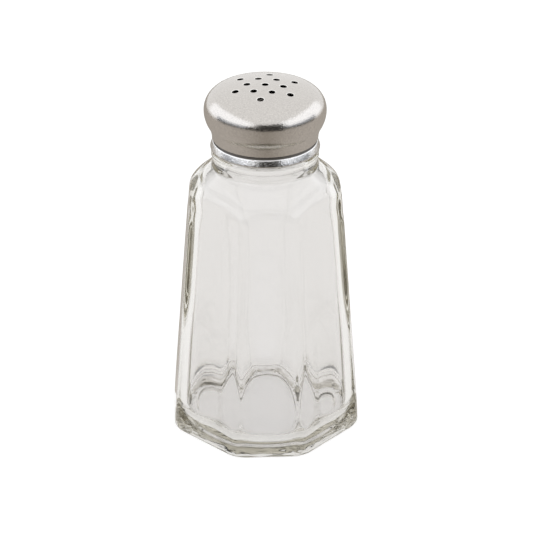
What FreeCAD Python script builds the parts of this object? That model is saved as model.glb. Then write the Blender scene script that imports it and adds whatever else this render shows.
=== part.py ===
import FreeCAD, Part
import Sketcher
import os

# A screw-top table shaker. An eight-sided pressed glass jar carries a threaded neck. The lid is a
# drawn stainless shell with thirteen holes, a threaded insert held inside the shell's waist, and a
# rolled ring that turns freely on the insert under the shell's hem.
# Millimetres and degrees. The origin is the centre of the base, +Z runs up through the lid, and two
# of the eight panels face along X.

SIZES = [
    # Glass body: distances between opposite flats, at the base and at panel_height, and how much
    # nearer the axis the four diagonal panels are
    ("base_flats", 51.0),
    ("base_diagonal_inset", 0.9),
    ("shoulder_flats", 39.6),
    ("shoulder_diagonal_inset", 0.7),
    ("panel_height", 71.7),
    ("panel_edge_radius", 4.0),
    ("heel_radius", 1.0),
    # Shoulder: a cone that bends down into the panels a little outside their flats
    ("shoulder_overhang", 1.5),
    ("shoulder_bend_radius", 9.0),
    ("shoulder_slope_degrees", 40.0),
    ("shoulder_rise", 4.2),
    # Neck: each length starts where the one below it ends, and the radii start from the thread's root
    ("neck_root_radius", 1.5),
    ("neck_base_height", 2.5),
    ("collar_height", 1.5),
    ("finish_height", 10.6),
    ("thread_neck_radius", 11.9),
    ("neck_base_step", 1.95),
    ("collar_step", 0.3),
    ("neck_wall", 2.0),
    ("rim_rounding", 0.6),
    # Raised lead on the collar, where the thread starts
    ("lead_height", 0.5),
    ("lead_start_degrees", 130.0),
    ("lead_degrees", 97.0),
    # Inside and underside of the glass: the wall of the panels that face along X and Y and of the
    # diagonal ones, at the base and at panel_height
    ("base_wall", 2.9),
    ("base_diagonal_wall", 3.8),
    ("panel_wall", 2.6),
    ("panel_diagonal_wall", 2.8),
    ("shoulder_wall", 2.2),
    ("floor_height", 2.0),
    ("floor_radius", 4.0),
    ("cavity_edge_extra", 5.0),
    ("foot_width", 8.0),
    ("push_up_depth", 0.6),
    ("push_up_side", 1.4),
    # Screw thread, shared by the neck and the insert
    ("thread_pitch", 4.0),
    ("thread_depth", 0.9),
    ("thread_root_width", 1.9),
    ("thread_crest_width", 0.8),
    ("thread_root_sink", 0.3),
    ("thread_start_rise", 0.5),
    ("thread_start_degrees", 165.0),
    ("neck_thread_turns", 1.75),
    ("insert_thread_turns", 1.25),
    ("thread_clearance", 0.3),
    ("thread_flank_gap", 0.35),
    # Threaded insert
    ("insert_wall", 0.35),
    ("insert_rise", 1.1),
    ("seat_gap", 0.15),
    ("retaining_rib", 0.3),
    ("retaining_rib_width", 0.5),
    ("retaining_rib_rise", 1.5),
    # Rolled ring: its heights above the collar and its widths outside its bore
    ("ring_rise", 0.7),
    ("ring_height", 2.4),
    ("ring_widest_rise", 0.6),
    ("ring_lip_width", 0.12),
    ("ring_width", 0.87),
    ("ring_foot_width", 0.57),
    ("ring_running_clearance", 0.08),
    ("ring_rib_clearance", 0.1),
    # Stainless shell: its hem above the ring and its bulge outside the waist and above the jar's rim
    ("shell_wall", 0.4),
    ("hem_gap", 0.7),
    ("waist_clearance", 0.08),
    ("bulge_reach", 2.07),
    ("bulge_rise", 0.8),
    ("bulge_lower_radius", 8.1),
    ("crown_edge_radius", 5.7),
    ("dome_radius", 49.0),
    ("hole_radius", 0.9),
    ("hole_pitch", 4.77),
    ("hole_pattern_degrees", -10.9),
    ("hole_ring_count", 6),
    # Overrun of the cutting solids past the faces that they cut
    ("overrun", 3.0),
]

# Heights and radii that several pieces share
SHOULDER_REACH = "(shoulder_flats / 2 + shoulder_overhang)"
NECK_ROOT = "(panel_height + shoulder_rise)"
NECK_BASE = "(thread_neck_radius + neck_base_step)"
COLLAR_BOTTOM = f"({NECK_ROOT} + neck_base_height)"
COLLAR_TOP = f"({COLLAR_BOTTOM} + collar_height)"
RIM = f"({COLLAR_TOP} + finish_height)"
MOUTH = "(thread_neck_radius - neck_wall)"
THREAD_START = f"({COLLAR_TOP} + thread_start_rise)"
SLEEVE = "(thread_neck_radius + thread_depth + thread_clearance + insert_wall)"
RING_BOTTOM = f"({COLLAR_TOP} + ring_rise)"
RING_TOP = f"({RING_BOTTOM} + ring_height)"
RING_BORE = f"({SLEEVE} + ring_running_clearance)"
RIB = f"({RING_BOTTOM} + retaining_rib_rise)"
HEM = f"({RING_TOP} + hem_gap)"
WAIST = f"({SLEEVE} + waist_clearance + shell_wall)"
BULGE_RADIUS = f"({WAIST} + bulge_reach)"
BULGE = f"({RIM} + bulge_rise)"
# Distances between opposite flats at the base and at panel_height: along X and Y, and diagonally
DIAGONALS = ("(base_flats - 2 * base_diagonal_inset)", "(shoulder_flats - 2 * shoulder_diagonal_inset)")
OUTSIDE_FLATS = (("base_flats", "shoulder_flats"), DIAGONALS)
CAVITY_FLATS = (
    ("(base_flats - 2 * base_wall)", "(shoulder_flats - 2 * panel_wall)"),
    (f"({DIAGONALS[0]} - 2 * base_diagonal_wall)", f"({DIAGONALS[1]} - 2 * panel_diagonal_wall)"),
)

FULL_TURN_DEGREES = 360.0
QUARTER_TURN_DEGREES = 90.0
EIGHTH_TURN_DEGREES = 45.0
VERTICAL_SHARE = 0.9
ALIASES = {name for name, value in SIZES}

doc = FreeCAD.newDocument("table_shaker")
sheet = doc.addObject("Spreadsheet::Sheet", "dims")
for row, (name, value) in enumerate(SIZES, 1):
    sheet.set(f"A{row}", name)
    sheet.set(f"B{row}", str(value))
    sheet.setAlias(f"B{row}", name)
doc.recompute()


def size(expression):
    """The value of an expression in the sheet's names."""
    return float(sheet.evalExpression(expression))


def bound(thing, prop, expression):
    """Bind a property to an expression in the sheet's names."""
    thing.setExpression(prop, in_sheet(expression))


def in_sheet(expression):
    """The same expression as another object writes it, with the sheet's name before each alias."""
    words = []
    word = ""
    for letter in expression + " ":
        if letter.isalnum() or letter == "_":
            word += letter
            continue
        words.append(f"dims.{word}" if word in ALIASES else word)
        words.append(letter)
        word = ""
    return "".join(words).strip()


def origin_plane(body, role):
    """One of a body's own origin planes."""
    return next(plane for plane in body.Origin.OriginFeatures if plane.Role == role)


def new_sketch(body, name, role, turn=None):
    """A sketch on an origin plane, turned about the vertical by an expression in degrees."""
    sketch = body.newObject("Sketcher::SketchObject", name)
    sketch.AttachmentSupport = [(origin_plane(body, role), "")]
    sketch.MapMode = "FlatFace"
    if turn:
        about_upright = FreeCAD.Rotation(FreeCAD.Vector(0, 1, 0), size(turn))
        sketch.AttachmentOffset = FreeCAD.Placement(FreeCAD.Vector(), about_upright)
        bound(sketch, "AttachmentOffset.Rotation.Angle", f"({turn}) * 1 deg")
    return sketch


def hold(sketch, edge, end, direction, expression):
    """Dimension one coordinate of an edge's end from the sketch's origin."""
    value = size(expression)
    if value == 0:
        axis = -2 if direction == "DistanceX" else -1
        sketch.addConstraint(Sketcher.Constraint("PointOnObject", edge, end, axis))
        return
    index = sketch.addConstraint(Sketcher.Constraint(direction, -1, 1, edge, end, value))
    bound(sketch, f"Constraints[{index}]", expression)


def outline(sketch, corners):
    """A closed outline. Each corner is (x, y, bend): two expressions, and for the edge that leaves
    the corner either None, a straight edge, or (radius, side) of an arc, where side +1 puts the
    arc's centre to the left of the way round."""
    points = [FreeCAD.Vector(size(x), size(y), 0) for x, y, bend in corners]
    for index, (x, y, bend) in enumerate(corners):
        start = points[index]
        end = points[(index + 1) % len(points)]
        if bend is None:
            sketch.addGeometry(Part.LineSegment(start, end), False)
            continue
        radius, side = size(bend[0]), bend[1]
        half = (end - start).multiply(0.5)
        left = FreeCAD.Vector(-half.y, half.x, 0).normalize().multiply(side)
        centre = start + half + left * (radius ** 2 - half.Length ** 2) ** 0.5
        middle = centre - left * radius
        sketch.addGeometry(Part.Arc(start, middle, end), False)
    starts = [start_end(sketch, index, points[index]) for index in range(len(corners))]
    for index, (x, y, bend) in enumerate(corners):
        following = (index + 1) % len(corners)
        ends = (index, 3 - starts[index], following, starts[following])
        sketch.addConstraint(Sketcher.Constraint("Coincident", *ends))
        hold(sketch, index, starts[index], "DistanceX", x)
        hold(sketch, index, starts[index], "DistanceY", y)
        if bend is not None:
            constraint = sketch.addConstraint(Sketcher.Constraint("Radius", index, size(bend[0])))
            bound(sketch, f"Constraints[{constraint}]", bend[0])


def start_end(sketch, edge, point):
    """1 or 2: the end of an edge that lies at a point. An arc always runs anticlockwise."""
    at_start = sketch.getPoint(edge, 1).distanceToPoint(point)
    at_end = sketch.getPoint(edge, 2).distanceToPoint(point)
    return 1 if at_start < at_end else 2


def turned(body, name, corners, feature="PartDesign::Revolution", span=None):
    """An outline turned about the body's vertical axis, right round or over a span, which is the
    names of its start and its extent in degrees."""
    start, extent = span or (None, None)
    sketch = new_sketch(body, f"{name}_outline", "XZ_Plane", start)
    outline(sketch, corners)
    revolution = body.newObject(feature, name)
    revolution.Profile = sketch
    revolution.ReferenceAxis = (sketch, ["V_Axis"])
    revolution.Angle = FULL_TURN_DEGREES
    if extent:
        bound(revolution, "Angle", extent)
    doc.recompute()


def screw_ridge(body, name, ridge, turns):
    """A right-hand ridge: a trapezium (base radius, crest radius, middle height) on a helix."""
    base, crest, middle = ridge
    sketch = new_sketch(body, f"{name}_outline", "XZ_Plane", "thread_start_degrees")
    corners = [
        (base, f"{middle} - thread_root_width / 2", None),
        (crest, f"{middle} - thread_crest_width / 2", None),
        (crest, f"{middle} + thread_crest_width / 2", None),
        (base, f"{middle} + thread_root_width / 2", None),
    ]
    outline(sketch, corners)
    doc.recompute()
    before = body.Tip.Shape.Volume
    helix = body.newObject("PartDesign::AdditiveHelix", name)
    helix.Profile = sketch
    helix.ReferenceAxis = (sketch, ["V_Axis"])
    helix.Mode = "pitch-turns-angle"
    bound(helix, "Pitch", "thread_pitch")
    bound(helix, "Turns", turns)
    doc.recompute()
    if helix.Shape.Volume <= before:
        raise RuntimeError(f"{name} adds nothing")
    return helix


def rounded(body, name, radius, edges):
    """A fillet of the body's tip along the named edges."""
    fillet = body.newObject("PartDesign::Fillet", name)
    fillet.Base = (body.Group[-2], edges)
    bound(fillet, "Radius", radius)
    doc.recompute()
    return fillet


def edge_names(shape, wanted):
    """The names of the edges that pass a test."""
    return [f"Edge{index}" for index, edge in enumerate(shape.Edges, 1) if wanted(edge)]


def is_upright(edge):
    """Whether a straight edge runs more up than sideways."""
    run = edge.Vertexes[-1].Point - edge.Vertexes[0].Point
    return edge.Curve.TypeId == "Part::GeomLine" and abs(run.z) > VERTICAL_SHARE * run.Length > 0


def flats_at(low_flats, high_flats, height):
    """Distance between two opposite tapering flats at a height."""
    return f"({low_flats} - ({low_flats} - {high_flats}) * ({height}) / panel_height)"


def tapered_block(name, flats, heights, turn):
    """A four-sided tapering block between two heights."""
    block = doc.addObject("Part::Wedge", name)
    low, high = heights
    low_half = f"({flats_at(*flats, low)} / 2)"
    high_half = f"({flats_at(*flats, high)} / 2)"
    for side, half in (("X", low_half), ("Z", low_half), ("X2", high_half), ("Z2", high_half)):
        bound(block, f"{side}min", f"-{half}")
        bound(block, f"{side}max", half)
    bound(block, "Ymin", low)
    bound(block, "Ymax", high)
    stood_up = FreeCAD.Rotation(FreeCAD.Vector(1, 0, 0), QUARTER_TURN_DEGREES)
    about_z = FreeCAD.Rotation(FreeCAD.Vector(0, 0, 1), turn)
    block.Placement = FreeCAD.Placement(FreeCAD.Vector(), about_z.multiply(stood_up))
    return block


def eight_sided(name, flats, edge_radius, heights, corners):
    """An eight-sided tapering block with rounded upright edges, cut to the shape of a turned form."""
    main = tapered_block(f"{name}_main_panels", flats[0], heights, 0)
    diagonal = tapered_block(f"{name}_diagonal_panels", flats[1], heights, EIGHTH_TURN_DEGREES)
    crossed = doc.addObject("Part::MultiCommon", f"{name}_crossed_panels")
    crossed.Shapes = [main, diagonal]
    panels = doc.addObject("PartDesign::Body", f"{name}_panels")
    panels.BaseFeature = crossed
    doc.recompute()
    rounded(panels, f"{name}_panel_edges", edge_radius, edge_names(panels.Tip.Shape, is_upright))
    form = doc.addObject("PartDesign::Body", f"{name}_turned_form")
    turned(form, f"{name}_turned", corners)
    common = doc.addObject("Part::MultiCommon", name)
    common.Shapes = [panels, form]
    doc.recompute()
    return common


def shoulder_points(inset):
    """Where the shoulder's bend starts and ends, with the wall's inset from the outside."""
    slope = "(shoulder_slope_degrees * 1 deg)"
    centre_x = f"({SHOULDER_REACH} - shoulder_bend_radius)"
    end_x = f"({centre_x} + shoulder_bend_radius * sin{slope})"
    end_y = f"({NECK_ROOT} - ({end_x} - {NECK_BASE}) * tan{slope})"
    centre_y = f"({end_y} - shoulder_bend_radius * cos{slope})"
    bend = f"(shoulder_bend_radius - {inset})"
    start = (f"{centre_x} + {bend}", centre_y)
    end = (f"{centre_x} + {bend} * sin{slope}", f"{centre_y} + {bend} * cos{slope}")
    return start, end, bend, slope


def glass_jar():
    """The pressed glass jar: panels, shoulder, collar, threaded neck and cavity."""
    start, end, bend, slope = shoulder_points("0")
    # The root's fillet touches the neck's side and the cone
    root_rise = f"neck_root_radius * tan(({QUARTER_TURN_DEGREES} - shoulder_slope_degrees) / 2 * 1 deg)"
    outside = [
        ("0", "0", None),
        ("base_flats", "0", None),
        ("base_flats", f"{start[1]} - overrun", None),
        (start[0], start[1], (bend, 1)),
        (end[0], end[1], None),
        (f"{NECK_BASE} + {root_rise} * cos{slope}",
         f"{NECK_ROOT} - {root_rise} * sin{slope}", ("neck_root_radius", -1)),
        (NECK_BASE, f"{NECK_ROOT} + {root_rise}", None),
        (NECK_BASE, COLLAR_BOTTOM, None),
        (f"{NECK_BASE} + collar_step", f"{COLLAR_BOTTOM} + collar_step", None),
        (f"{NECK_BASE} + collar_step", f"{COLLAR_TOP} - collar_step", None),
        (NECK_BASE, COLLAR_TOP, None),
        ("thread_neck_radius", COLLAR_TOP, None),
        ("thread_neck_radius", f"{RIM} - rim_rounding", ("rim_rounding", 1)),
        ("thread_neck_radius - rim_rounding", RIM, None),
        ("0", RIM, None),
    ]
    top = f"({RIM} + overrun)"
    form = eight_sided("jar_form", OUTSIDE_FLATS, "panel_edge_radius", ("0", top), outside)
    body = doc.addObject("PartDesign::Body", "glass_jar")
    body.BaseFeature = form
    doc.recompute()
    heel = edge_names(body.Tip.Shape, lambda edge: edge.BoundBox.ZMax < size("heel_radius") / 2)
    rounded(body, "heel", "heel_radius", heel)
    thread_root = "thread_neck_radius - thread_root_sink"
    crest = "thread_neck_radius + thread_depth"
    screw_ridge(body, "neck_thread", (thread_root, crest, THREAD_START), "neck_thread_turns")
    lead = [
        (thread_root, f"{COLLAR_TOP} - collar_step", None),
        (NECK_BASE, f"{COLLAR_TOP} - collar_step", None),
        (NECK_BASE, f"{COLLAR_TOP} + lead_height", None),
        (thread_root, f"{COLLAR_TOP} + lead_height", None),
    ]
    turned(body, "thread_lead", lead, span=("lead_start_degrees", "lead_degrees"))

    in_start, in_end, in_bend, slope = shoulder_points("shoulder_wall")
    mouth_y = f"{NECK_ROOT} - ({MOUTH} - {NECK_BASE}) * tan{slope} - shoulder_wall / cos{slope}"
    inside = [
        ("0", "floor_height", None),
        ("base_flats", "floor_height", None),
        ("base_flats", f"{in_start[1]} - overrun", None),
        (in_start[0], in_start[1], (in_bend, 1)),
        (in_end[0], in_end[1], None),
        (MOUTH, mouth_y, None),
        (MOUTH, top, None),
        ("0", top, None),
    ]
    edge_radius = "(floor_radius + cavity_edge_extra)"
    hollow_form = eight_sided("cavity_form", CAVITY_FLATS, edge_radius, ("floor_height", top), inside)
    hollow = doc.addObject("PartDesign::Body", "cavity")
    hollow.BaseFeature = hollow_form
    doc.recompute()
    floor_top = size("floor_height + floor_radius / 2")
    floor = edge_names(hollow.Tip.Shape, lambda edge: edge.BoundBox.ZMax < floor_top)
    rounded(hollow, "floor_edges", "floor_radius", floor)

    hollowed = body.newObject("PartDesign::Boolean", "hollowed")
    hollowed.Type = "Cut"
    hollowed.Group = [hollow]
    doc.recompute()
    push_up_radius = "(base_flats / 2 - foot_width)"
    push_up = [
        ("0", "-overrun", None),
        (push_up_radius, "-overrun", None),
        (push_up_radius, "0", None),
        (f"{push_up_radius} - push_up_side", "push_up_depth", None),
        ("0", "push_up_depth", None),
    ]
    turned(body, "push_up", push_up, "PartDesign::Groove")
    return body


def thread_insert():
    """The threaded insert: a thin sleeve with a turned-in seat, a rib for the ring and a thread."""
    inner = f"({SLEEVE} - insert_wall)"
    bottom = f"({COLLAR_TOP} + insert_rise)"
    seat = f"({RIM} + seat_gap)"
    rib_low = f"({RIB} - retaining_rib_width / 2)"
    rib_high = f"({RIB} + retaining_rib_width / 2)"
    corners = [
        (inner, bottom, None),
        (SLEEVE, bottom, None),
        (SLEEVE, rib_low, None),
        (f"{SLEEVE} + retaining_rib", rib_low, None),
        (f"{SLEEVE} + retaining_rib", rib_high, None),
        (SLEEVE, rib_high, None),
        (SLEEVE, f"{seat} + insert_wall", None),
        (MOUTH, f"{seat} + insert_wall", None),
        (MOUTH, seat, None),
        (inner, seat, None),
    ]
    body = doc.addObject("PartDesign::Body", "thread_insert")
    turned(body, "sleeve", corners)
    # Screwed home, the insert's ridge lies just under the neck's: half of both ridges and a gap lower
    overlap = "thread_depth - thread_clearance"
    flare = "(thread_root_width - thread_crest_width) / thread_depth"
    ridges = f"(thread_crest_width + ({overlap}) * {flare} / 2)"
    middle = f"({THREAD_START} + thread_pitch - {ridges} - thread_flank_gap)"
    ridge = (f"{inner} + insert_wall / 2", f"{inner} - thread_depth", middle)
    screw_ridge(body, "insert_thread", ridge, "insert_thread_turns")
    return body


def rim_ring():
    """The rolled ring, trapped on the insert's rib between the shell's hem and the collar."""
    groove = f"({SLEEVE} + retaining_rib + ring_rib_clearance)"
    groove_low = f"({RIB} - retaining_rib_width / 2 - ring_rib_clearance)"
    groove_high = f"({RIB} + retaining_rib_width / 2 + ring_rib_clearance)"
    widest = f"{RING_BOTTOM} + ring_widest_rise"
    corners = [
        (RING_BORE, RING_BOTTOM, None),
        (f"{RING_BORE} + ring_foot_width", RING_BOTTOM, ("ring_widest_rise", 1)),
        (f"{RING_BORE} + ring_width", widest, ("ring_height", 1)),
        (f"{RING_BORE} + ring_lip_width", RING_TOP, None),
        (RING_BORE, RING_TOP, None),
        (RING_BORE, groove_high, None),
        (groove, groove_high, None),
        (groove, groove_low, None),
        (RING_BORE, groove_low, None),
    ]
    body = doc.addObject("PartDesign::Body", "rim_ring")
    turned(body, "rolled_ring", corners)
    return body


def shell_points(inset):
    """The shell's outline from its axis down to the hem, inset from the outside by the wall."""
    # The dome meets the crown's edge on the line through both centres
    edge_x = f"({BULGE_RADIUS} - crown_edge_radius)"
    reach = "(dome_radius - crown_edge_radius)"
    rise = f"sqrt({reach} ^ 2 - {edge_x} ^ 2)"
    dome_y = f"({BULGE} - {rise})"
    dome = f"(dome_radius - {inset})"
    crown = f"(crown_edge_radius - {inset})"
    # The bulge meets the waist's hollow bend on the line through both centres
    drop = f"({BULGE} - {HEM})"
    step = "(bulge_reach - bulge_lower_radius)"
    hollow = f"(({step} ^ 2 + {drop} ^ 2 - bulge_lower_radius ^ 2) / (2 * bulge_reach))"
    both = f"(bulge_lower_radius + {hollow})"
    lower = f"(bulge_lower_radius - {inset})"
    lower_x = f"({BULGE_RADIUS} - bulge_lower_radius)"
    return [
        ("0", f"{dome_y} + {dome}", (dome, -1)),
        (f"{edge_x} * {dome} / {reach}", f"{dome_y} + {rise} * {dome} / {reach}", (crown, -1)),
        (f"{BULGE_RADIUS} - {inset}", BULGE, (lower, -1)),
        (f"{lower_x} - ({step} - {hollow}) * {lower} / {both}",
         f"{BULGE} - {drop} * {lower} / {both}", (f"({hollow} + {inset})", 1)),
        (f"{WAIST} - {inset}", HEM, None),
    ]


def cap_shell():
    """The drawn stainless shell with its thirteen holes."""
    outside = shell_points("0")
    inside = shell_points("shell_wall")
    # The inside runs back up, so each arc belongs to the corner at its lower end
    bends = [bend for x, y, bend in inside]
    back_up = [(x, y, None) for x, y, bend in inside[::-1]]
    for index, bend in enumerate(bends[-2::-1]):
        back_up[index] = (*back_up[index][:2], (bend[0], -bend[1]))
    body = doc.addObject("PartDesign::Body", "cap_shell")
    turned(body, "drawn_shell", outside + back_up)
    punched(body, "centre_hole", ("0", "0"))
    punched(body, "inner_holes", ("hole_pitch", "0"), "hole_ring_count")
    # Turned by half a step, the outer holes fill the points of a six-pointed star
    punched(body, "outer_holes", ("0", "sqrt(3) * hole_pitch"), "hole_ring_count")
    turn = FreeCAD.Rotation(FreeCAD.Vector(0, 0, 1), size("hole_pattern_degrees"))
    body.Placement = FreeCAD.Placement(FreeCAD.Vector(), turn)
    bound(body, "Placement.Rotation.Angle", "hole_pattern_degrees * 1 deg")
    return body


def punched(body, name, place, count=None):
    """A hole down through the dome at a place, and its copies round a ring if it has a count."""
    before = body.Tip.Shape.Volume
    x, y = place
    sketch = new_sketch(body, f"{name}_outline", "XY_Plane")
    centre = FreeCAD.Vector(size(x), size(y), 0)
    sketch.addGeometry(Part.Circle(centre, FreeCAD.Vector(0, 0, 1), size("hole_radius")), False)
    constraint = sketch.addConstraint(Sketcher.Constraint("Radius", 0, size("hole_radius")))
    bound(sketch, f"Constraints[{constraint}]", "hole_radius")
    hold(sketch, 0, 3, "DistanceX", x)
    hold(sketch, 0, 3, "DistanceY", y)
    pocket = body.newObject("PartDesign::Pocket", name)
    pocket.Profile = sketch
    pocket.Type = "ThroughAll"
    pocket.Reversed = True
    doc.recompute()
    if pocket.Shape.Volume >= before:
        raise RuntimeError(f"{name} cuts nothing")
    if count is None:
        return
    pattern = body.newObject("PartDesign::PolarPattern", f"{name}_round")
    pattern.Originals = [pocket]
    pattern.Axis = (sketch, ["N_Axis"])
    pattern.Angle = FULL_TURN_DEGREES
    bound(pattern, "Occurrences", count)
    body.Tip = pattern
    doc.recompute()


def write(pieces):
    """Check every object and every piece, then write each piece to its own file."""
    doc.recompute()
    for thing in doc.Objects:
        if "Invalid" in thing.State or "Error" in thing.State:
            raise RuntimeError(f"{thing.Label} failed: {thing.State}")
    for piece in pieces:
        if piece.Shape.isNull() or not piece.Shape.isValid():
            raise RuntimeError(f"{piece.Label} has no valid shape")
    os.makedirs("parts", exist_ok=True)
    for piece in pieces:
        piece.Shape.exportStep(f"parts/{piece.Label}.step")
        box = piece.Shape.BoundBox
        heights = f"z {box.ZMin:.2f} to {box.ZMax:.2f}"
        print(f"{piece.Label}: {len(piece.Shape.Solids)} solid, {piece.Shape.Volume:.1f} mm3, {heights}")


write([glass_jar(), thread_insert(), rim_ring(), cap_shell()])
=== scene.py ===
import math

import bpy
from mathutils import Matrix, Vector, noise

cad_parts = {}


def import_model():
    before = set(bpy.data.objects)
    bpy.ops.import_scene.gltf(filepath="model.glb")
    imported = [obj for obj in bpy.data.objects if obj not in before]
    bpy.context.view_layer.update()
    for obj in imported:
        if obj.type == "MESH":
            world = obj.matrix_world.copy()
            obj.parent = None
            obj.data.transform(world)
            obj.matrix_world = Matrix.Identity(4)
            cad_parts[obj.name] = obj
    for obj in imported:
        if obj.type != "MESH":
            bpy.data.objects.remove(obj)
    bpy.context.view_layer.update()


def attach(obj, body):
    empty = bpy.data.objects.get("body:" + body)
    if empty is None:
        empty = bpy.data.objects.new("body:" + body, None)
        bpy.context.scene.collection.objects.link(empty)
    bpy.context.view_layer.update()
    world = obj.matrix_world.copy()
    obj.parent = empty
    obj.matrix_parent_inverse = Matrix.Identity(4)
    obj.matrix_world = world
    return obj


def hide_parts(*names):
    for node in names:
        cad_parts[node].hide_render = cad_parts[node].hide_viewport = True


# A screw-top table shaker: an eight-sided pressed glass jar under a domed stainless lid with
# thirteen holes. Sizes are in millimetres until a mesh is made, and Z runs up through the lid.

MM = 0.001

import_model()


def linear(hex_colour):
    """An sRGB hex colour as linear RGBA."""
    channels = [int(hex_colour[i:i + 2], 16) / 255 for i in (1, 3, 5)]
    return [c / 12.92 if c <= 0.04045 else ((c + 0.055) / 1.055) ** 2.4 for c in channels] + [1.0]


def add(tree, kind, inputs=None, **settings):
    """Add a node: its own settings, and for each input a value or the socket that feeds it."""
    made = tree.nodes.new(kind)
    for name, value in settings.items():
        setattr(made, name, value)
    for name, value in (inputs or {}).items():
        socket = made.inputs[name]
        if isinstance(value, bpy.types.NodeSocket):
            tree.links.new(value, socket)
        else:
            socket.default_value = value
    return made


def mesh_object(name, points, faces, finish=None):
    """A smooth mesh object from points in millimetres."""
    mesh = bpy.data.meshes.new(name)
    mesh.from_pydata([Vector(point) * MM for point in points], [], faces)
    mesh.polygons.foreach_set("use_smooth", [True] * len(mesh.polygons))
    if finish:
        mesh.materials.append(finish)
    made = bpy.data.objects.new(name, mesh)
    bpy.context.scene.collection.objects.link(made)
    return made


def blend_step(value, low, high):
    """0 below low, 1 above high and a smooth rise between."""
    share = min(max((value - low) / (high - low), 0.0), 1.0)
    return share * share * (3 - 2 * share)


def arc(centre, radius, start, end, steps):
    """Points (radius, height) along an arc, angles in degrees from outwards."""
    points = []
    for step in range(steps + 1):
        angle = math.radians(start + (end - start) * step / steps)
        points.append((centre[0] + radius * math.cos(angle), centre[1] + radius * math.sin(angle)))
    return points


def span(start, end, step):
    """Evenly spaced values from start to end, both included, about step apart."""
    count = max(1, round(abs(end - start) / step))
    return [start + (end - start) * i / count for i in range(count + 1)]


def rings(rows, closed):
    """Points and faces of a skin over rings of points. A ring of one point is a pole."""
    points, starts, faces = [], [], []
    for row in rows:
        starts.append(len(points))
        points += row
    pairs = list(zip(range(len(rows)), range(1, len(rows))))
    if closed:
        pairs.append((len(rows) - 1, 0))
    count = max(len(row) for row in rows)
    for low, high in pairs:
        for index in range(count):
            after = (index + 1) % count
            if len(rows[low]) == 1:
                faces.append((starts[low], starts[high] + after, starts[high] + index))
            elif len(rows[high]) == 1:
                faces.append((starts[low] + index, starts[low] + after, starts[high]))
            else:
                faces.append((starts[low] + index, starts[low] + after,
                              starts[high] + after, starts[high] + index))
    return points, faces


def lathe(name, outline, count, closed=True, finish=None):
    """A turned skin from an outline of (radius, height) that runs upwards on the outside."""
    rows = []
    for radius, height in outline:
        if radius == 0:
            rows.append([(0, 0, height)])
            continue
        turn = 2 * math.pi / count
        turns = [turn * i for i in range(count)]
        rows.append([(radius * math.cos(a), radius * math.sin(a), height) for a in turns])
    return mesh_object(name, *rings(rows, closed), finish)


# The glass jar

BASE_FLAT = 25.5
BASE_DIAGONAL = 24.6
SHOULDER_FLAT = 19.8
SHOULDER_DIAGONAL = 19.1
PANEL_HEIGHT = 71.7
PANEL_EDGE = 3.0
FOOT_EDGE = 8.0
FOOT_EDGE_HEIGHT = 9.0
HEEL = 1.0
SHOULDER_REACH = 21.3
SHOULDER_BEND = 9.0
SHOULDER_SLOPE = math.radians(40)
NECK_ROOT = 75.9
NECK_ROOT_BEND = 1.5
NECK_BASE = 13.85
COLLAR_BOTTOM = 78.4
COLLAR_TOP = 79.9
COLLAR_STEP = 0.3
THREAD_NECK = 11.9
RIM = 90.5
RIM_ROUNDING = 0.6
MOUTH = 9.9
LEAD_HEIGHT = 0.5
LEAD_START = 130
LEAD_END = 227
CAVITY_FOOT = 22.1
CAVITY_SHOULDER = 18.0
SHOULDER_WALL = 2.6
FLOOR = 2.0
# The cavity's swell towards four of the panels and towards all eight, and the heights between
# which it turns from that form to flat panels of its own
CAVITY_FOUR = 0.06
CAVITY_EIGHT = -0.015
CAVITY_PANELS = ((22.2, 21.3), (16.9, 16.1))
CAVITY_EDGE = 6.0
CAVITY_ROUND = 25
CAVITY_SIDED = 42
FLOOR_BEND = 6.0
PUSH_UP = 17.5
PUSH_UP_DEPTH = 0.6
PUSH_UP_SIDE = 1.4
THREAD_PITCH = 4.0
THREAD_DEPTH = 0.9
THREAD_ROOT = 1.9
THREAD_CREST = 0.8
THREAD_START = 80.4
THREAD_START_ANGLE = 165
NECK_TURNS = 1.75
# Fire-polished glass has no sharp crease: its forms melt into each other over these lengths
SHOULDER_MELT = 0.9
CAVITY_MELT = 2.5
MOUTH_MELT = 2.0
# Glass that ran down its mould is slightly uneven, in ripples longer than they are wide, which
# are measured at a middling radius
RIPPLE_WIDTH = 7.0
RIPPLE_LENGTH = 20.0
RIPPLE_RADIUS = 20
OUTSIDE_RIPPLE = 0.03
OUTSIDE_SEED = 3
CAVITY_RIPPLE = 0.12
CAVITY_SEED = 40
# The foot's ring is stippled
STIPPLE = 0.25
STIPPLE_LENGTH = 1.6
STIPPLE_SEED = 7
# The skin's rows lie closer over the shoulder: outside from one height up, inside between two
SHOULDER_ROWS = 56
CAVITY_ROWS = 58
MOUTH_ROWS = 76.5
SECTOR = math.pi / 4
PANELS = ((BASE_FLAT, BASE_DIAGONAL), (SHOULDER_FLAT, SHOULDER_DIAGONAL))


def panel_radius(angle, height, panels, edge):
    """From the axis to the side of the rounded octagon, in a direction and at a height."""
    share = height / PANEL_HEIGHT
    flat, diagonal = (low + (high - low) * share for low, high in zip(*panels))
    sector = math.floor(angle / SECTOR)
    local = angle - sector * SECTOR
    near, far = (flat, diagonal) if sector % 2 == 0 else (diagonal, flat)
    corner_x = near - edge
    corner_y = (far - edge - corner_x * math.cos(SECTOR)) / math.sin(SECTOR)
    first = math.atan2(corner_y, near)
    last = math.atan2(corner_y + edge * math.sin(SECTOR), corner_x + edge * math.cos(SECTOR))
    if local <= first:
        return near / math.cos(local)
    if local >= last:
        return far / math.cos(SECTOR - local)
    along = corner_x * math.cos(local) + corner_y * math.sin(local)
    return along + math.sqrt(along ** 2 - corner_x ** 2 - corner_y ** 2 + edge ** 2)


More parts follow.
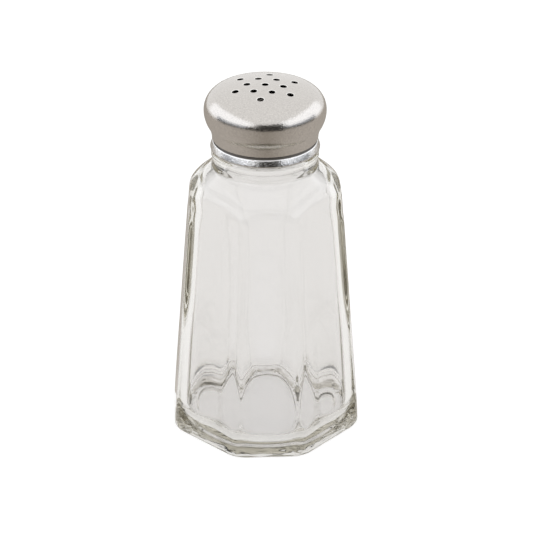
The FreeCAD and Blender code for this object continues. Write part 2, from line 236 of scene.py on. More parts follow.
def outside_radius(angle, height):
    """The panels' outside: its upright edges are rounder towards the foot."""
    edge = FOOT_EDGE + (PANEL_EDGE - FOOT_EDGE) * blend_step(height, 0, FOOT_EDGE_HEIGHT)
    return panel_radius(angle, height, PANELS, edge)


def cavity_radius(angle, height):
    """The plunger's form: low down round and drawn out towards four of the panels, and eight-sided
    higher up."""
    swell = CAVITY_FOUR * math.cos(4 * angle) + CAVITY_EIGHT * math.cos(8 * angle)
    low = (CAVITY_FOOT + (CAVITY_SHOULDER - CAVITY_FOOT) * height / PANEL_HEIGHT) * (1 + swell)
    high = panel_radius(angle, height, CAVITY_PANELS, CAVITY_EDGE)
    return low + (high - low) * blend_step(height, CAVITY_ROUND, CAVITY_SIDED)


def shoulder_radius(height, inset):
    """The shoulder's own turned form at a height: a bend, then a cone up to the neck."""
    centre_x = SHOULDER_REACH - SHOULDER_BEND
    end_x = centre_x + SHOULDER_BEND * math.sin(SHOULDER_SLOPE)
    end_z = NECK_ROOT - (end_x - NECK_BASE) * math.tan(SHOULDER_SLOPE)
    centre_z = end_z - SHOULDER_BEND * math.cos(SHOULDER_SLOPE)
    bend = SHOULDER_BEND - inset
    if height <= centre_z:
        # Below its bend the form flares out again, clear of the panels
        return SHOULDER_REACH - inset + (centre_z - height) ** 2 / (2 * SHOULDER_BEND)
    if height <= centre_z + bend * math.cos(SHOULDER_SLOPE):
        return centre_x + math.sqrt(bend ** 2 - (height - centre_z) ** 2)
    cone_top = NECK_ROOT - inset / math.cos(SHOULDER_SLOPE)
    return NECK_BASE + (cone_top - height) / math.tan(SHOULDER_SLOPE)


def smaller(first, second, reach):
    """The smaller of two lengths, rounded off where they cross."""
    mix = max(reach - abs(first - second), 0) / reach
    return min(first, second) - mix * mix * reach / 4


def larger(first, second, reach):
    """The larger of two lengths, rounded off where they cross."""
    return -smaller(-first, -second, reach)


def thread_stand(angle, height):
    """How far the neck's thread stands out in a direction and at a height, from 0 to 1."""
    turn = (angle - math.radians(THREAD_START_ANGLE)) / (2 * math.pi)
    stand = 0.0
    for lap in range(math.ceil(NECK_TURNS) + 2):
        place = turn + lap
        if 0 <= place <= NECK_TURNS:
            off = abs(height - THREAD_START - THREAD_PITCH * place)
            ridge = 1 - blend_step(off, THREAD_CREST / 2, THREAD_ROOT / 2)
            ends = blend_step(place, 0, 0.05) * (1 - blend_step(place, NECK_TURNS - 0.08, NECK_TURNS))
            stand = max(stand, ridge * ends)
    return stand


def lead_stand(angle):
    """1 along the raised lead on the collar, 0 elsewhere, with a short slope at its ends."""
    degrees = math.degrees(angle)
    rise = blend_step(degrees, LEAD_START, LEAD_START + 6)
    return rise * (1 - blend_step(degrees, LEAD_END - 2, LEAD_END))


def ripple(angle, height, depth, seed):
    """The slight unevenness of glass that ran down its mould, drawn out along its height."""
    across = (math.cos(angle) * RIPPLE_RADIUS / RIPPLE_WIDTH, math.sin(angle) * RIPPLE_RADIUS / RIPPLE_WIDTH)
    place = Vector((*across, height / RIPPLE_LENGTH))
    return depth * noise.noise(place + Vector((seed, seed, seed)))


def glass_angles():
    """Directions round the jar, closer together at its rounded upright edges."""
    corner = math.degrees(math.atan2(BASE_DIAGONAL * math.sqrt(2) - BASE_FLAT, BASE_FLAT))
    near = (0, 0.7, 1.4, 2.2, 3.2, 4.5, 6.2, 8.2, 10.8, 13.8, 17)
    angles = []
    for sector in range(8):
        edge = corner if sector % 2 == 0 else 45 - corner
        local = {0.0} | {round(edge + side * off, 4) for off in near for side in (-1, 1)}
        angles += [math.radians(sector * 45 + place) for place in sorted(local) if 0 <= place < 44.8]
    return angles


def glass_jar(finish):
    """The whole jar as one closed skin: up its outside from under the base, over the rim, down inside."""
    angles = glass_angles()
    rows = []

    def ring(radius_at, height):
        rows.append([(radius_at(a) * math.cos(a), radius_at(a) * math.sin(a), height) for a in angles])

    def outer(angle, height):
        panel = outside_radius(angle, height) + ripple(angle, height, OUTSIDE_RIPPLE, OUTSIDE_SEED)
        return smaller(panel, shoulder_radius(height, 0), SHOULDER_MELT)

    def inner(angle, height):
        panel = cavity_radius(angle, height) + ripple(angle, height, CAVITY_RIPPLE, CAVITY_SEED)
        wall = smaller(panel, shoulder_radius(height, SHOULDER_WALL), CAVITY_MELT)
        return larger(wall, MOUTH, MOUTH_MELT)

    # Underside: the push-up, its slope and the foot
    rows.append([(0, 0, PUSH_UP_DEPTH)])
    top_of_slope = PUSH_UP - PUSH_UP_SIDE
    for radius in (4, 8, 12, 14.5, top_of_slope - 0.3):
        ring(lambda a: radius, PUSH_UP_DEPTH)
    for share in (0.2, 0.4, 0.6, 0.8, 1):
        ring(lambda a: top_of_slope + PUSH_UP_SIDE * share, PUSH_UP_DEPTH * (1 - blend_step(share, 0, 1)))
    for share in span(0.05, 1, 0.08):
        rows.append([])
        for a in angles:
            radius = PUSH_UP + (outside_radius(a, 0) - HEEL - PUSH_UP) * share
            place = Vector((radius * math.cos(a), radius * math.sin(a), STIPPLE_SEED)) / STIPPLE_LENGTH
            rise = STIPPLE * abs(noise.noise(place)) * (1 - share ** 8)
            rows[-1].append((radius * math.cos(a), radius * math.sin(a), rise))
    # Heel
    for turn in (15, 30, 45, 60, 75, 90):
        bend = math.radians(turn)
        height = HEEL * (1 - math.cos(bend))
        ring(lambda a: outer(a, height) - HEEL * (1 - math.sin(bend)), height)
    # Panels and shoulder, up to the root of the neck
    slope_side = math.pi / 2 - SHOULDER_SLOPE
    root_rise = NECK_ROOT_BEND * math.tan(slope_side / 2)
    cone_end = NECK_ROOT - root_rise * math.sin(SHOULDER_SLOPE)
    lower = span(HEEL, 11, 1)[1:] + span(11, SHOULDER_ROWS, 2.5)[1:]
    for height in lower + span(SHOULDER_ROWS, cone_end, 0.4)[1:]:
        ring(lambda a: outer(a, height), height)
    for share in (0.2, 0.4, 0.6, 0.8, 1):
        turn = slope_side * (1 - share)
        ring(lambda a: NECK_BASE + NECK_ROOT_BEND * (1 - math.cos(turn)),
             NECK_ROOT + root_rise - NECK_ROOT_BEND * math.sin(turn))
    # Collar, with a little rounding at each corner
    collar = NECK_BASE + COLLAR_STEP
    for radius, height in ((NECK_BASE, COLLAR_BOTTOM - 0.12), (NECK_BASE + 0.03, COLLAR_BOTTOM),
                           (NECK_BASE + 0.12, COLLAR_BOTTOM + 0.12), (collar - 0.08, COLLAR_BOTTOM + 0.24),
                           (collar, COLLAR_BOTTOM + 0.42), (collar, COLLAR_TOP - 0.4),
                           (collar - 0.07, COLLAR_TOP - 0.18), (collar - 0.2, COLLAR_TOP - 0.05)):
        ring(lambda a: radius, height)
    # Ledge, which the lead stands on
    for share in (0, 0.02, 0.06, 0.12, 0.3, 0.5, 0.75, 0.93, 1):
        stand = blend_step(share, 0, 0.06)
        radius = NECK_BASE - 0.05 - (NECK_BASE - 0.05 - THREAD_NECK) * share
        rows.append([(radius * math.cos(a), radius * math.sin(a),
                      COLLAR_TOP + LEAD_HEIGHT * lead_stand(a) * stand) for a in angles])
    # Threaded neck, rim and mouth
    for height in span(COLLAR_TOP + 0.6, RIM - RIM_ROUNDING, 0.22):
        ring(lambda a: THREAD_NECK + THREAD_DEPTH * thread_stand(a, height), height)
    for radius, height in arc((THREAD_NECK - RIM_ROUNDING, RIM - RIM_ROUNDING), RIM_ROUNDING, 0, 90, 5)[1:]:
        ring(lambda a: radius, height)
    for radius, height in arc((MOUTH + RIM_ROUNDING, RIM - RIM_ROUNDING), RIM_ROUNDING, 90, 180, 5):
        ring(lambda a: radius, height)
    # Down the mouth, the inner shoulder and the cavity's walls
    floor_turn = FLOOR + FLOOR_BEND
    mouth = span(RIM - RIM_ROUNDING, MOUTH_ROWS, 2)[1:]
    shoulder = span(MOUTH_ROWS, CAVITY_ROWS, 0.42)[1:]
    for height in mouth + shoulder + span(CAVITY_ROWS, floor_turn, 2.5)[1:]:
        ring(lambda a: inner(a, height), height)
    # The floor's rounded edge and the floor
    for turn in span(0, 90, 7.5)[1:]:
        bend = math.radians(turn)
        height = floor_turn - FLOOR_BEND * math.sin(bend)
        ring(lambda a: inner(a, height) - FLOOR_BEND * (1 - math.cos(bend)), height)
    for share in (0.85, 0.7, 0.5, 0.25):
        ring(lambda a: (inner(a, FLOOR) - FLOOR_BEND) * share, FLOOR)
    rows.append([(0, 0, FLOOR)])
    return mesh_object("jar_glass", *rings(rows, closed=False), finish)


# The lid

SHELL_WALL = 0.4
HEM = 83.7
WAIST = 13.93
BULGE = 91.3
BULGE_RADIUS = 16.0
BULGE_LOWER = 8.1
CROWN_EDGE = 5.7
DOME = 49.0
HOLE = 0.9
HOLE_PITCH = 4.77
HOLE_TURN = math.radians(-10.9)
HOLE_COUNT = 6
HOLE_FLARE = 0.2
HOLE_SIDES = 48
PUNCH_DEPTH = 2.0
RING_BOTTOM = 80.6
RING_TOP = 83.0
RING_WIDEST = 81.2
RING_BORE = 13.53
RING_LIP = 13.65
RING_RADIUS = 14.4
RING_FOOT = 14.1
SLEEVE = 13.45
SLEEVE_WALL = 0.35
SLEEVE_BOTTOM = 81.0
SEAT = 90.65
RIB = 0.3
RIB_WIDTH = 0.5
RIB_HEIGHT = 82.1
GROOVE_GAP = 0.05
INSERT_TURNS = 1.25
INSERT_THREAD_START = 82.88
LID_SEGMENTS = 192

DOME_CENTRE = BULGE - math.sqrt((DOME - CROWN_EDGE) ** 2 - (BULGE_RADIUS - CROWN_EDGE) ** 2)


def shell_side(inset):
    """The shell from its hem up to its top, inset from the outside by part of its wall."""
    drop = BULGE - HEM
    step = BULGE_RADIUS - BULGE_LOWER - WAIST
    hollow = (step ** 2 + drop ** 2 - BULGE_LOWER ** 2) / (2 * (BULGE_RADIUS - WAIST))
    low_turn = math.degrees(math.atan2(drop, WAIST + hollow - BULGE_RADIUS + BULGE_LOWER))
    crown_turn = math.degrees(math.atan2(BULGE - DOME_CENTRE, BULGE_RADIUS - CROWN_EDGE))
    side = arc((WAIST + hollow, HEM), hollow + inset, 180, 180 - low_turn, 12)
    side += arc((BULGE_RADIUS - BULGE_LOWER, BULGE), BULGE_LOWER - inset, -low_turn, 0, 12)[1:]
    side += arc((BULGE_RADIUS - CROWN_EDGE, BULGE), CROWN_EDGE - inset, 0, crown_turn, 24)[1:]
    side += arc((0, DOME_CENTRE), DOME - inset, crown_turn, 90, 26)[1:]
    side[-1] = (0, side[-1][1])
    return side


def round_dome(mesh):
    """Give the dome's faces round the holes the normals of the dome itself, so its gloss runs on
    unbroken, and the flares of the holes the second finish, a paler steel that paints a highlight round each
    hole."""
    centre = Vector((0, 0, DOME_CENTRE * MM))
    edge = math.cos(math.atan2(BULGE_RADIUS - CROWN_EDGE, BULGE - DOME_CENTRE))
    normals = [loop.normal.copy() for loop in mesh.loops]
    for face in mesh.polygons:
        for index in face.loop_indices:
            out = (mesh.vertices[mesh.loops[index].vertex_index].co - centre).normalized()
            side = out.dot(face.normal)
            if out.z > edge and abs(side) > 0.97:
                normals[index] = out if side > 0 else -out
            elif out.z > edge and side > 0.8:
                face.material_index = 1
    mesh.normals_split_custom_set(normals)


def pierced(shell, finish):
    """Geometry Nodes punch the thirteen holes: one in the middle and two rings round it. Each punch
    stands square to the dome and flares at its surface, which leaves the hole a soft edge that catches the
    light; the paler finish that round_dome gives the flare paints a highlight on it as well."""
    tree = bpy.data.node_groups.new("pierced_dome", "GeometryNodeTree")
    face = tree.interface
    face.new_socket("Geometry", in_out="INPUT", socket_type="NodeSocketGeometry")
    sizes = {"Hole Radius": HOLE * MM, "Hole Pitch": HOLE_PITCH * MM, "Pattern Turn": HOLE_TURN,
             "Dome Radius": DOME * MM, "Dome Centre": DOME_CENTRE * MM, "Flare": HOLE_FLARE * MM}
    for name in sizes:
        face.new_socket(name, in_out="INPUT", socket_type="NodeSocketFloat")
    face.new_socket("Holes In Ring", in_out="INPUT", socket_type="NodeSocketInt")
    face.new_socket("Finish", in_out="INPUT", socket_type="NodeSocketMaterial")
    face.new_socket("Geometry", in_out="OUTPUT", socket_type="NodeSocketGeometry")
    given = add(tree, "NodeGroupInput").outputs
    # One hole on the axis, and the corners of two hexagons, the outer one turned by half a step
    middle = add(tree, "GeometryNodePoints", {"Count": 1})
    near = add(tree, "GeometryNodeMeshCircle", {
        "Vertices": given["Holes In Ring"], "Radius": given["Hole Pitch"]})
    far_radius = add(tree, "ShaderNodeMath", {0: given["Hole Pitch"], 1: math.sqrt(3)},
                     operation="MULTIPLY")
    far = add(tree, "GeometryNodeMeshCircle", {
        "Vertices": given["Holes In Ring"], "Radius": far_radius.outputs[0]})
    half_step = add(tree, "ShaderNodeMath", {0: math.pi, 1: given["Holes In Ring"]}, operation="DIVIDE")
    half_turn = add(tree, "ShaderNodeCombineXYZ", {"Z": half_step.outputs[0]})
    far_turned = add(tree, "GeometryNodeTransform", {
        "Geometry": far.outputs["Mesh"], "Rotation": half_turn.outputs[0]})
    star = add(tree, "GeometryNodeJoinGeometry")
    for part in (middle.outputs[0], near.outputs["Mesh"], far_turned.outputs[0]):
        tree.links.new(part, star.inputs[0])
    star_turn = add(tree, "ShaderNodeCombineXYZ", {"Z": given["Pattern Turn"]})
    turned = add(tree, "GeometryNodeTransform", {
        "Geometry": star.outputs[0], "Rotation": star_turn.outputs[0]})
    # Up onto the dome: the height over a sphere's centre at each place
    place = add(tree, "GeometryNodeInputPosition")
    reach = add(tree, "ShaderNodeVectorMath", {0: place.outputs[0]}, operation="LENGTH")
    square = add(tree, "ShaderNodeMath", {0: reach.outputs["Value"], 1: 2.0}, operation="POWER")
    dome_square = add(tree, "ShaderNodeMath", {0: given["Dome Radius"], 1: 2.0}, operation="POWER")
    rest = add(tree, "ShaderNodeMath", {0: dome_square.outputs[0], 1: square.outputs[0]},
               operation="SUBTRACT")
    rise = add(tree, "ShaderNodeMath", {0: rest.outputs[0], 1: 0.5}, operation="POWER")
    height = add(tree, "ShaderNodeMath", {0: rise.outputs[0], 1: given["Dome Centre"]}, operation="ADD")
    lift = add(tree, "ShaderNodeCombineXYZ", {"Z": height.outputs[0]})
    seated = add(tree, "GeometryNodeSetPosition", {
        "Geometry": turned.outputs[0], "Offset": lift.outputs[0]})
    # Punches square to the dome: a pin through the wall, then a cone that flares at the surface
    centre = add(tree, "ShaderNodeCombineXYZ", {"Z": given["Dome Centre"]})
    outwards = add(tree, "ShaderNodeVectorMath", {0: place.outputs[0], 1: centre.outputs[0]},
                   operation="SUBTRACT")
    square_to = add(tree, "FunctionNodeAlignRotationToVector", {"Vector": outwards.outputs[0]}, axis="Z")
    pin = add(tree, "GeometryNodeMeshCylinder", {
        "Vertices": HOLE_SIDES, "Radius": given["Hole Radius"], "Depth": PUNCH_DEPTH * MM})
    wide = add(tree, "ShaderNodeMath", {0: given["Flare"], 1: 2.0, 2: given["Hole Radius"]},
               operation="MULTIPLY_ADD")
    sunk = add(tree, "ShaderNodeMath", {0: given["Flare"], 1: -0.5}, operation="MULTIPLY")
    cone = add(tree, "GeometryNodeMeshCone", {
        "Vertices": HOLE_SIDES, "Radius Top": wide.outputs[0], "Radius Bottom": given["Hole Radius"],
        "Depth": given["Flare"]})
    down = add(tree, "ShaderNodeCombineXYZ", {"Z": sunk.outputs[0]})
    cone_sunk = add(tree, "GeometryNodeTransform", {
        "Geometry": cone.outputs["Mesh"], "Translation": down.outputs[0]})
    cut = None
    for cutter in (pin.outputs["Mesh"], cone_sunk.outputs[0]):
        punches = add(tree, "GeometryNodeInstanceOnPoints", {
            "Points": seated.outputs[0], "Instance": cutter, "Rotation": square_to.outputs[0]})
        cutters = add(tree, "GeometryNodeRealizeInstances", {"Geometry": punches.outputs[0]})
        before = cut.outputs["Mesh"] if cut else given["Geometry"]
        cut = add(tree, "GeometryNodeMeshBoolean", {"Mesh 1": before, "Mesh 2": cutters.outputs[0]},
                  operation="DIFFERENCE", solver="EXACT")
    whole = add(tree, "GeometryNodeRealizeInstances", {"Geometry": cut.outputs["Mesh"]})
    finished = add(tree, "GeometryNodeSetMaterial", {
        "Geometry": whole.outputs[0], "Material": given["Finish"]})
    result = add(tree, "NodeGroupOutput")
    tree.links.new(finished.outputs[0], result.inputs["Geometry"])

    modifier = shell.modifiers.new("pierced", "NODES")
    modifier.node_group = tree
    sizes["Holes In Ring"] = HOLE_COUNT
    sizes["Finish"] = finish
    for socket in face.items_tree:
        if socket.in_out == "INPUT" and socket.name in sizes:
            modifier[socket.identifier] = sizes[socket.name]
    bpy.context.view_layer.update()
    made = bpy.data.meshes.new_from_object(shell.evaluated_get(bpy.context.evaluated_depsgraph_get()))
    shell.modifiers.remove(modifier)
    shell.data = made
    made.polygons.foreach_set("use_smooth", [True] * len(made.polygons))
    made.set_sharp_from_angle(angle=math.radians(35))
    return shell


def cap_shell(finish, highlight_finish):
    """The drawn shell with its pierced dome."""
    outside = shell_side(0)
    inside = shell_side(SHELL_WALL)
    hem = arc((WAIST - SHELL_WALL / 2, HEM + SHELL_WALL / 2), SHELL_WALL / 2, 180, 360, 8)
    outline = [inside[-1]] + inside[-2:0:-1] + hem + outside[1:]
    shell = pierced(lathe("lid_shell", outline, LID_SEGMENTS, closed=False, finish=finish), finish)
    shell.data.materials.append(highlight_finish)
    round_dome(shell.data)
    return shell


def rolled_ring(finish):
    """The bright ring that is rolled round the foot of the lid."""
    # The groove that the insert's rib runs in
    deep, half = SLEEVE + RIB + GROOVE_GAP, RIB_WIDTH / 2 + GROOVE_GAP
    bore = [(RING_BORE, RING_TOP - 0.04), (RING_BORE, RIB_HEIGHT + half), (deep, RIB_HEIGHT + half),
            (deep, RIB_HEIGHT - half), (RING_BORE, RIB_HEIGHT - half), (RING_BORE, RING_BOTTOM + 0.15)]
    foot = [(RING_BORE + 0.12, RING_BOTTOM), (RING_FOOT - 0.35, RING_BOTTOM)]
    lower = [(RING_FOOT - 0.12, RING_BOTTOM + 0.04), (RING_FOOT + 0.05, RING_BOTTOM + 0.2),
             (RING_RADIUS - 0.03, RING_WIDEST - 0.15)]
    upper = [(RING_RADIUS, RING_WIDEST), (RING_RADIUS - 0.06, RING_WIDEST + 0.2),
             (RING_RADIUS - 0.18, RING_WIDEST + 0.55), (RING_RADIUS - 0.32, RING_WIDEST + 0.95),
             (RING_RADIUS - 0.47, RING_WIDEST + 1.35), (RING_RADIUS - 0.6, RING_TOP - 0.1),
             (RING_LIP + 0.04, RING_TOP)]
    return lathe("lid_ring", bore + foot + lower + upper, LID_SEGMENTS, finish=finish)


def threaded_insert(finish):
    """The insert: a thin sleeve with a seat turned in at its top, an outside rib and a rolled thread."""
    count = LID_SEGMENTS
    inner = SLEEVE - SLEEVE_WALL
    rows = []

    def ring(radius_at, height):
        turn = 2 * math.pi / count
        turns = [turn * i for i in range(count)]
        rows.append([(radius_at(a) * math.cos(a), radius_at(a) * math.sin(a), height) for a in turns])

    def ridge(angle, height):
        turn = (angle - math.radians(THREAD_START_ANGLE)) / (2 * math.pi)
        stand = 0.0
        for lap in range(3):
            place = turn + lap
            if 0 <= place <= INSERT_TURNS:
                off = abs(height - INSERT_THREAD_START - THREAD_PITCH * place)
                last = blend_step(place, INSERT_TURNS - 0.05, INSERT_TURNS)
                ends = blend_step(place, 0, 0.05) * (1 - last)
                stand = max(stand, (1 - blend_step(off, THREAD_CREST / 2, THREAD_ROOT / 2)) * ends)
        return inner - THREAD_DEPTH * stand

    rib_low, rib_high = RIB_HEIGHT - RIB_WIDTH / 2, RIB_HEIGHT + RIB_WIDTH / 2
    for radius, height in ((SLEEVE, SLEEVE_BOTTOM), (SLEEVE, rib_low), (SLEEVE + RIB, rib_low + 0.05),
                           (SLEEVE + RIB, rib_high - 0.05), (SLEEVE, rib_high), (SLEEVE, SEAT - 0.2),
                           (SLEEVE - 0.08, SEAT + 0.15), (SLEEVE - 0.35, SEAT + SLEEVE_WALL),
                           (MOUTH + 0.08, SEAT + SLEEVE_WALL),
                           (MOUTH, SEAT + SLEEVE_WALL - 0.08), (MOUTH, SEAT + 0.08), (MOUTH + 0.08, SEAT),
                           (inner - 0.3, SEAT), (inner - 0.06, SEAT - 0.06)):
        ring(lambda a: radius, height)
    for height in span(SEAT - 0.3, SLEEVE_BOTTOM, 0.24):
        ring(lambda a: ridge(a, height), height)
    return mesh_object("lid_insert", *rings(rows, closed=True), finish)


# Finishes

GLASS_IOR = 1.52
GLASS_DENSITY = 30.0
GRAIN_DEPTH = 0.15
GLOSS_SPREAD = 0.04


def new_material(name):
    """An empty material and its node tree."""
    made = bpy.data.materials.new(name)
    made.use_nodes = True
    made.node_tree.nodes.clear()
    return made, made.node_tree


def pressed_glass():
    """Soda-lime glass, pressed and fire-polished: clear, with a faint olive cast where it is thick."""
    made, tree = new_material("pressed_soda_lime_glass")
    shader = add(tree, "ShaderNodeBsdfPrincipled", {
        "Base Color": linear("#F0EFEF"), "Roughness": 0.0, "IOR": GLASS_IOR, "Transmission Weight": 1.0})
    output = add(tree, "ShaderNodeOutputMaterial", {"Surface": shader.outputs[0]})
    cast = add(tree, "ShaderNodeVolumeAbsorption", {"Color": linear("#D6D2C2"), "Density": GLASS_DENSITY})
    tree.links.new(cast.outputs[0], output.inputs["Volume"])
    return made


def metal(name, colour, fleck, roughness, grain_mm, grain_bump):
    """A bare metal with a fine grain of two tones that breaks up its gloss. A metal's real grain is too
    fine to show, so it is drawn as coarse as it needs to be."""
    made, tree = new_material(name)
    place = add(tree, "ShaderNodeTexCoord")
    grain = add(tree, "ShaderNodeTexNoise", {
        "Vector": place.outputs["Object"], "Scale": 1 / (grain_mm * MM), "Detail": 2.0, "Roughness": 0.6})
    gloss = add(tree, "ShaderNodeMapRange", {
        "Value": grain.outputs["Fac"], "From Min": 0.3, "From Max": 0.7,
        "To Min": roughness - GLOSS_SPREAD, "To Max": roughness + GLOSS_SPREAD})
    bump = add(tree, "ShaderNodeBump", {
        "Height": grain.outputs["Fac"], "Strength": grain_bump, "Distance": grain_mm * MM * GRAIN_DEPTH})
    flecks = add(tree, "ShaderNodeMapRange", {
        "Value": grain.outputs["Fac"], "From Min": 0.3, "From Max": 0.7})
    tones = add(tree, "ShaderNodeMix", {
        "Factor": flecks.outputs[0], "A": linear(colour), "B": linear(fleck)}, data_type="RGBA")
    shader = add(tree, "ShaderNodeBsdfPrincipled", {
        "Base Color": tones.outputs["Result"], "Metallic": 1.0, "Roughness": gloss.outputs[0],
        "Normal": bump.outputs[0]})
    add(tree, "ShaderNodeOutputMaterial", {"Surface": shader.outputs[0]})
    return made


# The set: floor, cards, lamps, world and camera

FLOOR_HALF = 2500
FLOOR_SINK = 0.02
FLOOR_GLOW = 0.8
ROOM_LIGHT = 0.55
CARD_REACH = 860
CARD_STEP = 5
RAYS = ("camera", "diffuse", "glossy", "transmission", "volume_scatter", "shadow")
VIEW_AZIMUTH = math.radians(-2.64)
VIEW_ELEVATION = math.radians(27.91)
VIEW_TARGET = (0.35, -0.02, 45.02)
VIEW_DISTANCE = 555.8
SENSOR_WIDTH = 36.0
LENS = 138.99


def background_seen(tree):
    """1 for the rays that see the background plainly: from the camera, mirrored or through glass."""
    path = add(tree, "ShaderNodeLightPath").outputs
    mirrored = add(tree, "ShaderNodeMath", {0: path["Is Camera Ray"], 1: path["Is Glossy Ray"]},
                   operation="MAXIMUM")
    through = add(tree, "ShaderNodeMath", {0: mirrored.outputs[0], 1: path["Is Transmission Ray"]},
                  operation="MAXIMUM")
    return through.outputs[0]


def white_floor():
    """Broad matt white paper. Its own glow carries it to plain white and leaves the shaker's shadow."""
    made, tree = new_material("matt_white_paper")
    paper = add(tree, "ShaderNodeBsdfDiffuse", {"Color": linear("#BABAB8")})
    glow = add(tree, "ShaderNodeMath", {0: background_seen(tree), 1: FLOOR_GLOW}, operation="MULTIPLY")
    light = add(tree, "ShaderNodeEmission", {"Color": linear("#FFFFFF"), "Strength": glow.outputs[0]})
    both = add(tree, "ShaderNodeAddShader", {0: paper.outputs[0], 1: light.outputs[0]})
    add(tree, "ShaderNodeOutputMaterial", {"Surface": both.outputs[0]})
    corners = ((-1, -1), (1, -1), (1, 1), (-1, 1))
    points = [(FLOOR_HALF * x, FLOOR_HALF * y, -FLOOR_SINK) for x, y in corners]
    mesh_object("floor", points, [(0, 1, 2, 3)], made)


def painted_surround_sheet(name, colour, side_colour, low, high, rays, start=0, end=360):
    """A glowing sheet of painted surroundings round the shaker, from one tone in front to another at the
    sides, between two rings of (radius, height) and over a span of directions. Only the named rays meet it:
    glossy ones in a mirror, transmission ones out of glass, so its tones are painted reflections and views
    through glass."""
    made, tree = new_material(name)
    place = add(tree, "ShaderNodeTexCoord")
    towards = add(tree, "ShaderNodeVectorMath", {0: place.outputs["Object"]}, operation="NORMALIZE")
    axes = add(tree, "ShaderNodeSeparateXYZ", {0: towards.outputs[0]})
    aside = add(tree, "ShaderNodeMath", {0: axes.outputs["X"]}, operation="ABSOLUTE")
    mixed = add(tree, "ShaderNodeMix", {
        "Factor": aside.outputs[0], "A": linear(colour), "B": linear(side_colour)}, data_type="RGBA")
    tone = add(tree, "ShaderNodeEmission", {"Color": mixed.outputs["Result"], "Strength": 1.0})
    add(tree, "ShaderNodeOutputMaterial", {"Surface": tone.outputs[0]})
    count = round((end - start) / CARD_STEP)
    turns = [math.radians(start + (end - start) * i / count) for i in range(count + 1)]
    points = [(radius * math.cos(a), radius * math.sin(a), height)
              for radius, height in (low, high) for a in turns]
    faces = [(i, i + 1, i + count + 2, i + count + 1) for i in range(count)]
    sheet = mesh_object(name, points, faces, made)
    for ray in RAYS:
        setattr(sheet, f"visible_{ray}", ray in rays)


def lamp(name, place, aim, width, height, watts):
    """A soft box: a slightly blue sheet of light at a place, turned to its aim."""
    light = bpy.data.lights.new(name, "AREA")
    light.shape = "RECTANGLE"
    light.size, light.size_y = width * MM, height * MM
    light.energy = watts
    light.color = linear("#EEF4FF")[:3]
    made = bpy.data.objects.new(name, light)
    made.location = Vector(place) * MM
    made.rotation_mode = "QUATERNION"
    made.rotation_quaternion = (Vector(aim) - Vector(place)).to_track_quat("-Z", "Y")
    bpy.context.scene.collection.objects.link(made)


def world():
    """A pale studio all round, and plain white where the background is seen."""
    made = bpy.data.worlds.new("studio")
    bpy.context.scene.world = made
    made.use_nodes = True
    tree = made.node_tree
    tree.nodes.clear()
    room = add(tree, "ShaderNodeBackground", {"Color": linear("#FFFFFF"), "Strength": ROOM_LIGHT})
    white = add(tree, "ShaderNodeBackground", {"Color": linear("#FFFFFF"), "Strength": 1.0})
    both = add(tree, "ShaderNodeMixShader", {
        0: background_seen(tree), 1: room.outputs[0], 2: white.outputs[0]})
    add(tree, "ShaderNodeOutputWorld", {"Surface": both.outputs[0]})


def camera():
    """The photograph's view: a long lens, a little above the lid."""
    data = bpy.data.cameras.new("camera")
    made = bpy.data.objects.new("camera", data)
    bpy.context.scene.collection.objects.link(made)
    level = math.cos(VIEW_ELEVATION)
    back = Vector((math.sin(VIEW_AZIMUTH) * level, -math.cos(VIEW_AZIMUTH) * level,
                   math.sin(VIEW_ELEVATION)))
    made.location = Vector(VIEW_TARGET) * MM + back * VIEW_DISTANCE * MM
    made.rotation_mode = "QUATERNION"
    made.rotation_quaternion = (-back).to_track_quat("-Z", "Y")
    data.sensor_width = SENSOR_WIDTH
    data.lens = LENS
    data.clip_start, data.clip_end = 0.01, 20
    bpy.context.scene.camera = made


glass = pressed_glass()
# Stainless steel sheet, drawn and satin finished: a wide gloss that its grain makes soft and warm
stainless = metal("satin_drawn_stainless_steel", "#C9C5C1", "#DAD6D1", 0.17, 0.4, 0.5)
# The same steel on the flares of the holes, painted pale: a painted highlight that draws a bright dull rim
# round each hole
painted_rim_highlight = metal("stainless_painted_rim_highlight", "#F6F4F0", "#FAF8F5", 0.35, 0.3, 0.1)
# Aluminium strip, rolled bright: it sparkles in small flecks
bright = metal("bright_rolled_aluminium", "#C4C2C0", "#F2F2F2", 0.17, 0.4, 0.9)
# Aluminium sheet, drawn: coloured a dull, dark grey as painted shade for the deep gap under the lid where it
# shows
plain = metal("drawn_aluminium_painted_shade", "#5E5A56", "#6A6662", 0.45, 0.3, 0.2)

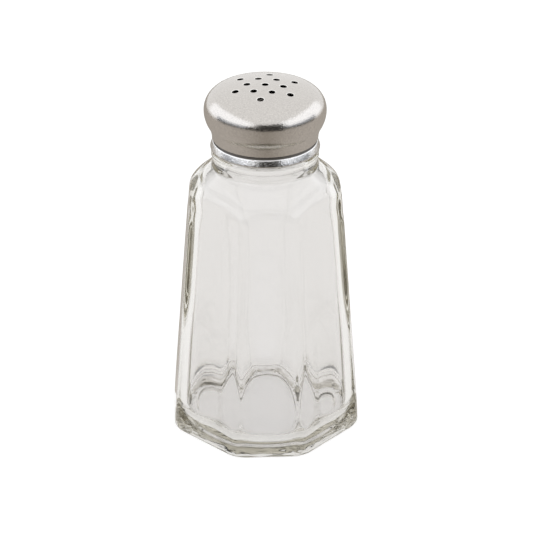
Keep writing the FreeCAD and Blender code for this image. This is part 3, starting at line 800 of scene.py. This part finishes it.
PIECES = (
    (glass_jar(glass), "jar", "glass_jar", "clear_glass"),
    (cap_shell(stainless, painted_rim_highlight), "lid", "cap_shell", "stainless"),
    (rolled_ring(bright), "ring", "rim_ring", "bright_ring"),
    # The insert's dark grey is painted shade
    (threaded_insert(plain), "lid", "thread_insert", "bright_aluminium"),
)
for piece, body, node, slot in PIECES:
    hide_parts(node)
    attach(piece, body)

white_floor()
# Painted reflections: glowing sheets that only the lid's gloss and the glass's edges pick up, the dark ones
# standing in for shade
# Painted shadow: a dark ring on the floor by the jar's front, lighter towards the sides, which only the
# lid's gloss shows
painted_surround_sheet("painted_floor_shadow_reflection", "#3A362F", "#8C867E", (27, 1.5), (50, 1.5), ["glossy"], 215, 315)
# Painted reflection: a grey sheet over the white floor which only the lid's gloss shows, so the floor
# mirrors darker than it is, darker in front and behind than at the sides
painted_surround_sheet("painted_grey_floor_reflection", "#A39C93", "#C6C0B9", (27, 1), (CARD_REACH, 1), ["glossy"])
# Painted reflection: a dark band low round the camera's side, which only the lid's gloss shows, standing in
# for a dark room
painted_surround_sheet("painted_dark_horizon_reflection", "#4A4844", "#4A4844", (CARD_REACH, 1), (CARD_REACH, 240), ["glossy"], 170, 370)
# Painted reflection: a dark sheet in front of the shaker, which only the lid's gloss shows, standing in for
# the dark camera side
painted_surround_sheet("painted_dark_front_reflection", "#3A3835", "#3A3835", (500, 2), (500, 310), ["glossy"], 252, 302)
# Painted dark edges: a high sheet which only rays out of the glass meet, dark at the sides, so the glass's
# edges show dark streaks
painted_surround_sheet("painted_dark_glass_edges", "#8E8C84", "#1E1D1A", (CARD_REACH, 160), (CARD_REACH, 420), ["transmission"])
lamp("left_soft_box", (-560, -100, 300), (0, 0, 90), 1400, 440, 1.0)
lamp("right_soft_box", (560, -100, 300), (0, 0, 90), 1400, 440, 1.0)
world()
camera()

scene = bpy.context.scene
scene.view_settings.view_transform = "Standard"
# Light runs far along thick glass before it leaves
scene.cycles.max_bounces = 28
scene.cycles.glossy_bounces = 20
scene.cycles.transmission_bounces = 28
